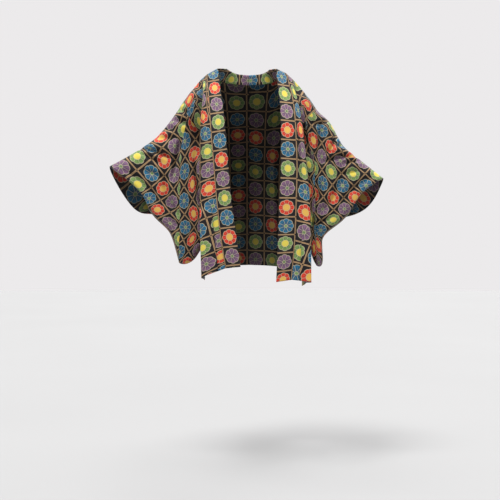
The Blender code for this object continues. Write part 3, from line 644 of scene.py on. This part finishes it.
# Over the shoulder, with down negative on the back: (down, y, right's out and height, left's out and height)
BODY_LINES = metres((
    # below the side of the neck, and the collar seam
    ((-680, 178, 115, -662, 115, -662), (-450, 172, 112, -440, 112, -440),
     (-330, 148, 112, -325, 112, -325), (-200, 90, 118, -205, 118, -205), (-80, 12, 130, -85, 124, -85),
     (0, -90, 144, -6, 127, -2), (50, -128, 141, -40, 136, -45), (100, -160, 136, -85, 146, -95),
     (160, -190, 131, -143, 152, -155), (225, -207, 126, -207, 155, -220),
     (330, -218, 117, -311, 158, -325), (450, -222, 107, -430, 155, -445),
     (580, -222, 93, -558, 150, -572), (700, -218, 77, -660, 139, -697)),
    # the corner where the body turns from its front or back to its side
    ((-680, 140, 160, -672, 172, -672), (-450, 130, 155, -450, 166, -450),
     (-330, 108, 152, -335, 160, -335), (-200, 62, 152, -210, 156, -210), (-80, -10, 156, -90, 152, -90),
     (0, -90, 160, -20, 145, -18), (50, -132, 152, -45, 150, -52), (100, -168, 152, -90, 160, -101),
     (160, -196, 156, -150, 170, -161), (225, -211, 159, -215, 178, -226),
     (330, -222, 160, -322, 188, -332), (450, -225, 159, -445, 198, -452),
     (580, -225, 157, -576, 201, -582), (700, -221, 154, -690, 202, -705)),
    # the side, or the bottom of the valley beside the armhole
    ((-680, 85, 162, -682, 186, -682), (-450, 78, 152, -460, 178, -460), (-330, 60, 148, -345, 166, -345),
     (-200, 20, 146, -215, 156, -215), (-80, -40, 158, -105, 158, -110), (0, -90, 178, -40, 168, -42),
     (50, -112, 158, -70, 157, -78), (100, -120, 152, -110, 156, -118), (160, -128, 148, -165, 158, -175),
     (225, -160, 147, -230, 162, -236), (330, -168, 148, -332, 170, -338),
     (450, -168, 150, -457, 182, -462), (580, -164, 152, -583, 190, -590),
     (700, -155, 153, -695, 191, -709)),
))
# Below the armpit the last two lines run down the side: (down, out, y, height)
SIDE_LINES = metres({
    "right": (
        ((-680, 157, 45, -690), (-450, 150, 36, -465), (-300, 147, 0, -320), (-225, 149, -22, -222),
         (180, 160, -143, -171), (225, 150, -135, -225), (300, 147, -132, -312), (450, 149, -130, -461),
         (700, 151, -108, -699)),
        ((-680, 155, 6, -696), (-450, 150, -8, -470), (-300, 148, -42, -325), (300, 148, -104, -320),
         (450, 149, -94, -466), (700, 152, -62, -703)),
    ),
    "left": (
        ((-680, 192, 45, -690), (-450, 180, 36, -465), (-300, 164, 0, -320), (-225, 158, -22, -224),
         (180, 167, -140, -182), (225, 159, -135, -230), (300, 164, -132, -318), (450, 180, -130, -467),
         (700, 188, -108, -716)),
        ((-680, 194, 6, -696), (-450, 181, -8, -470), (-300, 165, -42, -325), (300, 165, -104, -325),
         (450, 180, -94, -472), (700, 182, -62, -723)),
    ),
})
# Rows of the cut along an armhole, which the body strip takes from the sleeve
ARMHOLE_ROWS = np.array((0.000, 0.015, 0.030, 0.045, 0.060, 0.080, 0.100,
                         0.120, 0.140, 0.160, 0.180, 0.2025, ARMHOLE))
NECK_COLUMNS = np.linspace(0.0, NECK_WIDTH, 31)
BODY_MIDDLE = np.array((0.0, -0.03, -0.35))


def side_of(rows, side):
    """One side's rows (down, out, y, height) from rows that hold both sides."""
    at = {"right": 2, "left": 4}[side]
    return [(row[0], row[at], row[1], row[at + 1]) for row in rows]


def body_lines(side):
    """The fold lines of a body strip as sorted tables, those beside the armhole taken from the sleeve."""
    lines = [[(-row[0],) + row[1:] for row in line] for line in BACK_LINES]
    lines += [side_of(line, side) for line in BODY_LINES]
    for line, across, last in zip(SIDE_LINES[side], (BODY_ACROSS[-2] - BODY_WIDTH, 0.0), (0.140, ARMHOLE)):
        reach = ARMHOLE_ROWS[ARMHOLE_ROWS <= last]
        clear = ARMPIT_CLEAR * eased((reach - CLEAR_STARTS) / CLEAR_GROWS) * (across != 0.0)
        rows = list(line)
        for down in (reach, -reach[1:]):
            places = sleeve_point(side, across, down)
            places[:, 0] = SIDES[side] * places[:, 0] - clear[-len(down):]
            rows += [(at, *place) for at, place in zip(down, places)]
        lines.append(rows)
    return [sorted(line) for line in lines]


LINES = {side: body_lines(side) for side in SIDES}


def strip_point(side, first, across, down):
    """Read a body strip between its fold lines, from the first line that is used."""
    point = []
    for c in (OUT, Y, HEIGHT):
        lines = [column(line, c, down) for line in LINES[side][first:]]
        point.append(through(BODY_ACROSS[first:], lines, across))
    return np.stack(point, axis=-1)


def body_point(side, across, down):
    """Points of a body strip as worn. down is positive on the front and negative on the back."""
    across, down = np.broadcast_arrays(np.asarray(across, float), np.asarray(down, float))
    u, v = across.ravel(), down.ravel()
    front, back = strip_point(side, NECK_LINE, u, v), strip_point(side, 0, u, v)
    # The front has no lines inside the neck, so near the shoulder the back is led into the front
    shoulder = np.zeros_like(v)
    joint = strip_point(side, NECK_LINE, u, shoulder) - strip_point(side, 0, u, shoulder)
    back = back + joint * (eased(1 + v / BACK_LEADS) * (u >= NECK_WIDTH))[:, None]
    point = np.where((v > 0)[:, None], front, back)
    point[:, 0] *= SIDES[side]
    return point.reshape(across.shape + (3,))


# The fronts roll softly beside the collar, and the back falls in long shallow folds from the shoulders
BODY_CREASES = metres({
    "right": (
        (8, 5, ((152, 60), (152, 200), (149, 340), (152, 460))),
        (11, 6, ((205, 260), (200, 400), (206, 560), (204, 690))),
        (15, 7, ((30, -120), (36, -300), (30, -480), (40, -676))),
        (13, 9.5, ((85, -180), (98, -340), (105, -520), (98, -678))),
        (11, 7.5, ((175, -90), (160, -200), (132, -330), (125, -470))),
        (10, 9, ((262, -120), (215, -190), (172, -300), (165, -440))),
        (13, 7.5, ((205, -380), (212, -540), (204, -678))),
        (9, 5, ((60, -70), (68, -160), (60, -260))),
    ),
    "left": (
        (6, 8, ((134, 160), (134, 260), (134, 360), (136, 440))),
        (11, 6, ((210, 240), (204, 380), (210, 540), (205, 690))),
        (14, 8, ((42, -160), (34, -330), (42, -500), (36, -678))),
        (13, 9, ((100, -140), (92, -300), (100, -470), (108, -678))),
        (11, 8, ((185, -80), (168, -190), (140, -300), (128, -450))),
        (10, 9.5, ((258, -130), (220, -210), (185, -310), (172, -460))),
        (13, 7.5, ((195, -400), (205, -560), (212, -678))),
        (9, 5, ((70, -60), (62, -150), (72, -240))),
    ),
})
# The fronts are taken in along a slant at the collar, so the print drifts beside the seam: (down, where
# the middle of the first column of flowers lies across the cut, how much wider the cloth lies there), in m
PRINT_DRIFT = {
    "right": ((0.0, 0.165, 1.0), (0.12, 0.165, 1.0), (0.23, 0.143, 1.0), (0.30, 0.137, 1.0),
              (0.41, 0.139, 1.0), (0.52, 0.1265, 1.08), (0.60, 0.1265, 1.2), (0.70, 0.126, 1.4)),
    "left": ((0.30, 0.150, 1.0), (0.55, 0.150, 1.0), (0.61, 0.138, 1.05), (0.70, 0.130, 1.15)),
}
PRINT_TILT = {"right": 0.16, "left": 0.10}      # how much its rows rise towards the collar
TILT_STARTS, TILT_GROWS = 0.25, 0.20
# One row of flowers: (its v in the print, how many cells below the shoulder it lies, cells to the next row)
PRINT_ROW = {"right": (1.5, 4.67, -0.94), "left": (2.5, 6.51, 1.06)}


def body_print(side, across, down):
    """The print's place on a body strip, in cells. It runs on over the shoulder."""
    low = np.maximum(down, PRINT_DRIFT[side][0][0])
    drift, spread = [column(PRINT_DRIFT[side], key, low.ravel()).reshape(low.shape) for key in (1, 2)]
    beside = (across - NECK_WIDTH) * spread
    u = (NECK_WIDTH + beside - drift) * 1000 / CELL + 0.5
    v = (down - PRINT_TILT[side] * eased((down - TILT_STARTS) / TILT_GROWS) * beside) * 1000 / CELL
    row, at, spacing = PRINT_ROW[side]
    return u, row + (v - at) / spacing


# Low on the fronts the cloth overlaps itself beside the collar: (down, where across, cloth hidden)
TUCK = metres({
    "right": ((460, 136, 0), (550, 134, 12), (700, 134, 20)),
    "left": ((500, 140, 0), (610, 138, 14), (700, 138, 25)),
})
TUCK_PROUD = 0.006             # how far the upper layer stands off the lower one
TUCK_RISES = 0.006             # the cloth hidden where it stands off in full
TUCK_FADES = (0.170, 0.135)    # across the cut: where the side starts to take it up, and over what width


def tucked_point(side, across, down):
    """Points of a body strip with the overlap beside its collar, which the side's cloth takes up again."""
    low = np.maximum(down, TUCK[side][0][0]).ravel()
    edge, hidden = [column(TUCK[side], key, low).reshape(down.shape) for key in (1, 2)]
    start = edge + OVERLAP_START * hidden
    over = eased((across - start) / np.maximum(OVERLAP_TURN * hidden, 1e-6)) * (hidden > 0)
    over = over * (1 - eased((across - TUCK_FADES[0]) / TUCK_FADES[1]))
    points = body_point(side, across - hidden * over, down)
    points[..., 1] -= TUCK_PROUD * over * eased(hidden / TUCK_RISES)
    return points


def make_body(side):
    """One strip from the back hem over the shoulder to the front hem, with the neck cut away."""
    beside_neck = np.linspace(NECK_WIDTH, BODY_WIDTH, int((BODY_WIDTH - NECK_WIDTH) / FINE_GRAIN))
    across = np.concatenate([NECK_COLUMNS, beside_neck[1:]])
    downs = np.concatenate([np.linspace(-BACK_LENGTH, 0.0, int(BACK_LENGTH / GRAIN)),
                            np.linspace(0.0, FRONT_LENGTH, int(FRONT_LENGTH / GRAIN))[1:]])
    u, v = np.meshgrid(across, downs)
    smooth = body_point(side, u, v)
    points = creased(tucked_point(side, u, v), smooth, u, v, BODY_CREASES[side], smooth - BODY_MIDDLE,
                     np.minimum(u, BODY_WIDTH - u))
    keep = (v[:-1, :-1] < -1e-9) | (u[:-1, :-1] >= NECK_WIDTH - 1e-9)
    places = np.stack(body_print(side, u, v), axis=-1)
    piece = sheet_of_silk("silk_body_" + side, [(points, places)], BODY_MIDDLE, keep)
    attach(piece, "root")
    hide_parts("body_" + side)


for side in SIDES:
    make_body(side)

# ------------------------------------------------------------------------------------------ gussets
# A narrow wedge joins front and back at each side: nearly closed at the armpit, and wide at the hem. It
# is cut from the same bolt and sewn down both of its long edges.
GUSSET_TOP, GUSSET_HEM = 0.052, 0.084
GUSSET_GAP = 0.0001        # left beside each seam, which the cloth's thickness closes
GUSSET_STARTS = 0.012      # as a share of its length, where its narrow end is wide enough to sew
GUSSET_CREASES = metres({
    "right": ((9, 3.5, ((0, 80), (4, 240), (-3, 400), (0, 470))),),
    "left": ((10, 4, ((2, 100), (-4, 230), (4, 380), (1, 470))),),
})


def make_gusset(side):
    """The wedge between a front and a back, from the armpit to the hem."""
    share_down = np.linspace(GUSSET_STARTS, 1.0, 120)
    front = body_point(side, BODY_WIDTH, ARMHOLE + share_down * (FRONT_LENGTH - ARMHOLE))
    back = body_point(side, BODY_WIDTH, -ARMHOLE - share_down * (BACK_LENGTH - ARMHOLE))
    width = np.linalg.norm(back - front, axis=1)[:, None]
    share = (GUSSET_GAP + np.linspace(0, 1, 18) * (width - 2 * GUSSET_GAP)) / width
    points = front[:, None] + share[:, :, None] * (back - front)[:, None]
    across = (share - 0.5) * (GUSSET_TOP + share_down[:, None] * (GUSSET_HEM - GUSSET_TOP))
    down = np.repeat(share_down[:, None], share.shape[1], axis=1) * (FRONT_LENGTH - ARMHOLE)
    points = creased(points, points, across, down, GUSSET_CREASES[side], (SIDES[side], 0.0, 0.0),
                     np.minimum(share, 1 - share) * width)
    places = np.stack((across * 1000 / CELL + 0.5, down * 1000 / CELL), axis=-1)
    piece = sheet_of_silk("silk_gusset_" + side, [(points, places)], BODY_MIDDLE)
    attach(piece, "root")
    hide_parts("gusset_" + side)


for side in SIDES:
    make_gusset(side)

# ------------------------------------------------------------------------------------------- collar
# One long band, folded double and sewn to the fronts and round the neck. On the fronts it lies flat down
# to the hem; behind the neck it stands up and is turned outwards in half.
COLLAR_WIDTH = 0.055
COLLAR_GAP = 0.0002
COLLAR_HALF = 0.0011            # half the thickness between the band's two layers
# Its free edge on the fronts, by the distance down the body strip, in the columns of BODY_LINES
COLLAR_EDGES = metres((
    (0, -91, 107, 14.5, 94, 13.5), (50, -126, 101, -33, 97, -38), (100, -158, 95, -79, 102, -90),
    (160, -189, 86, -137, 105.5, -150), (225, -209, 80, -200, 106, -217),
    (330, -223, 70, -304, 105.5, -322), (450, -228, 60, -423, 100, -445),
    (580, -229, 43, -552, 95.5, -574), (700, -225, 29, -655, 90, -704),
))
COLLAR_EDGE = {side: side_of(COLLAR_EDGES, side) for side in SIDES}
COLLAR_STANDS = math.radians(93)
COLLAR_FOLD_AT = 0.030           # height of the fold above the seam, along the band
COLLAR_FOLD_RADIUS = 0.0042
COLLAR_FOLD_TURN = math.radians(172)
COLLAR_OPENS = 0.20              # where it starts to flatten, as a share of the way to the shoulder
COLLAR_SHARES = np.linspace(0.0, 1.0, 34)
COLLAR_RIM = np.linspace(0, math.pi, 9)[1:-1]       # turns of the band round its free edge


def front_collar_point(side, share, down):
    """Points of the front band: share runs from the seam to the free edge."""
    seam = body_point(side, NECK_WIDTH, down)
    edge = np.stack([column(COLLAR_EDGE[side], c, down) for c in (OUT, Y, HEIGHT)], axis=-1)
    edge[:, 0] *= SIDES[side]
    start = COLLAR_GAP / COLLAR_WIDTH
    t = (start + (1 - start) * share)[None, :, None]
    return seam[:, None] * (1 - t) + edge[:, None] * t


def back_collar_point(share, round_neck):
    """One row of the band behind the neck, from -1 at the right shoulder to 1 at the left."""
    side = "right" if round_neck < 0 else "left"
    near = abs(round_neck)
    neckline = body_point(side, NECK_COLUMNS, 0.0)
    seam = np.array([np.interp(NECK_WIDTH * near, NECK_COLUMNS, neckline[:, c]) for c in range(3)])
    edge = np.array(COLLAR_EDGE[side][0][OUT:]) - neckline[-1] * (SIDES[side], 1, 1)
    flat_width, flat_heading = math.hypot(*edge), math.atan2(edge[2], edge[0])
    opened = eased((near - COLLAR_OPENS) / (1 - COLLAR_OPENS))
    width = COLLAR_WIDTH + opened * (flat_width - COLLAR_WIDTH)
    fold = COLLAR_FOLD_AT + opened * (width - COLLAR_FOLD_AT)
    # Walk along the band from the seam, turning at the fold
    along, step = np.linspace(0, width, 240, retstep=True)
    heading = COLLAR_STANDS + opened * (flat_heading - COLLAR_STANDS)
    heading = heading - np.clip((along - fold) / (COLLAR_FOLD_RADIUS * math.pi), 0, 1) * COLLAR_FOLD_TURN
    walked_out = np.concatenate([[0], np.cumsum(np.cos(heading))[:-1]]) * step
    walked_up = np.concatenate([[0], np.cumsum(np.sin(heading))[:-1]]) * step
    at = COLLAR_GAP + share * (width - COLLAR_GAP)
    out, up = np.interp(at, along, walked_out), np.interp(at, along, walked_up)
    swing = near * math.pi / 2
    x = seam[0] + SIDES[side] * math.sin(swing) * out
    y = seam[1] + math.cos(swing) * out + opened * edge[1] * share
    return np.stack([x, y, seam[2] + up], axis=-1)


def doubled(band):
    """Both layers of the folded band: out along the face, round the free edge, and back underneath."""
    n = normals(band)
    n = n * np.sign(-n[-1, 0, 1])
    share = COLLAR_SHARES[None, :, None]
    half = COLLAR_HALF * (0.45 + 0.55 * eased(share / 0.12))      # thinner where it is sewn on
    outwards = band[:, -1:] - band[:, -2:-1]
    outwards = outwards / np.linalg.norm(outwards, axis=-1, keepdims=True)
    rim = band[:, -1:] + COLLAR_HALF * (
        np.cos(COLLAR_RIM)[None, :, None] * n[:, -1:] + np.sin(COLLAR_RIM)[None, :, None] * outwards
    )
    return np.concatenate([band + half * n, rim, (band - half * n)[:, ::-1]], axis=1)


# The band's cloth is eased on to the fronts near the hem: (down, how much lower its print lies), in m
COLLAR_EASE = {
    "right": ((0.520, 0.0), (0.588, 0.0026), (0.648, 0.0098), (0.700, 0.0155)),
    "left": ((0.450, 0.0), (0.520, -0.0012), (0.581, -0.0077), (0.650, -0.0155), (0.700, -0.0250)),
}


COLLAR_FLOWER = {"right": 0.23, "left": 0.42}       # cells below the shoulder


def collar_print(side, across, down):
    """The print's place on the collar, in cells. Its flowers stand in one column down the middle."""
    low = np.maximum(down, COLLAR_EASE[side][0][0])
    down = down - column(COLLAR_EASE[side], 1, low.ravel()).reshape(down.shape)
    below = down * 1000 / CELL - COLLAR_FLOWER[side]
    return across * 1000 / CELL - 0.02, 2.5 - SIDES[side] * below


def make_collar():
    """One long band, joined at the centre back, with its print falling both ways from there."""
    rows = np.linspace(0.0, FRONT_LENGTH, int(FRONT_LENGTH / GRAIN))[1:]
    near = np.linspace(0.0, 1.0, 40)
    grids = []
    for side, sign in SIDES.items():
        behind = np.array([back_collar_point(COLLAR_SHARES, sign * n) for n in near])
        band = np.concatenate([behind, front_collar_point(side, COLLAR_SHARES, rows)])
        # The print is laid by the band's length a little way out from its seam
        arc = np.cumsum(np.concatenate([[0.0], np.linalg.norm(np.diff(behind[:, 5], axis=0), axis=1)]))
        down = np.concatenate([arc - arc[-1], rows])
        # Across the band, in widths: out on its face, round the free edge, and back underneath
        across = [COLLAR_SHARES, np.full(len(COLLAR_RIM), 1.02), 2.04 - COLLAR_SHARES[::-1]]
        u, v = np.meshgrid(np.concatenate(across) * COLLAR_WIDTH, down)
        grids.append((doubled(band), np.stack(collar_print(side, u, v), axis=-1)))
    piece = sheet_of_silk("silk_collar", grids, (0.0, 0.0, -0.35))
    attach(piece, "root")
    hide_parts("collar")


make_collar()

# -------------------------------------------------------------------------------- floor and lights
# A plain pale studio: a broad key light above the camera, soft light from overhead, a fill from the side
# and one from behind, an even pale sky, and matt floor paint, well below the jacket as it is worn.
FLOOR_HEIGHT = -1.35


def floor_paint():
    """Matt floor paint, so no gloss. Its grey comes out as pale as the sky under these lights, and only a
    faint cloudiness is in it."""
    material = bpy.data.materials.new("matt pale floor paint")
    material.use_nodes = True
    tree = material.node_tree
    shader = tree.nodes["Principled BSDF"]
    place = add(tree, "ShaderNodeTexCoord").outputs["Object"]
    cloud = add(tree, "ShaderNodeTexNoise", {"Vector": place, "Scale": 0.7, "Detail": 2.0}).outputs["Fac"]
    greys = {0: cloud, 6: linear("#919191"), 7: linear("#959595")}
    colour = add(tree, "ShaderNodeMix", greys, data_type="RGBA")
    tree.links.new(colour.outputs[2], shader.inputs["Base Color"])
    shader.inputs["Roughness"].default_value = 0.9
    return material


bm = bmesh.new()
bmesh.ops.create_circle(bm, cap_ends=True, segments=96, radius=14.0)
bmesh.ops.translate(bm, verts=bm.verts, vec=(0.0, 0.0, FLOOR_HEIGHT))
floor = mesh_object("floor", bm, floor_paint())

world = bpy.data.worlds.new("studio")
world.use_nodes = True
world.node_tree.nodes["Background"].inputs["Color"].default_value = linear("#eceaeb")
world.node_tree.nodes["Background"].inputs["Strength"].default_value = 1.0
bpy.context.scene.world = world


def soft_light(name, toward, spread, strength):
    """A very broad, distant light: the direction it comes from, how wide it is in degrees, and W/m2."""
    light = bpy.data.lights.new(name, "SUN")
    light.angle = math.radians(spread)
    light.energy = strength
    lamp = bpy.data.objects.new(name, light)
    lamp.location = toward
    lamp.rotation_euler = (math.acos(toward[2] / np.linalg.norm(toward)), 0.0,
                           math.atan2(toward[1], toward[0]) + math.pi / 2)
    bpy.context.scene.collection.objects.link(lamp)


soft_light("key", (-0.7, -1.3, 2.7), 20, 3.2)
soft_light("top", (0.0, -0.2, 2.9), 40, 1.8)
soft_light("fill", (2.4, -2.0, 1.0), 30, 0.25)
soft_light("back", (0.8, 2.2, 2.2), 30, 1.3)

# A level camera, low in front of the jacket
lens = bpy.data.cameras.new("camera")
lens.lens = 64.44
lens.sensor_width = 36.0
camera = bpy.data.objects.new("camera", lens)
camera.location = (0.0034, -3.13, -0.60)
camera.rotation_euler = (math.radians(90), 0.0, 0.0)
bpy.context.scene.collection.objects.link(camera)
bpy.context.scene.camera = camera
bpy.context.scene.view_settings.view_transform = "Standard"
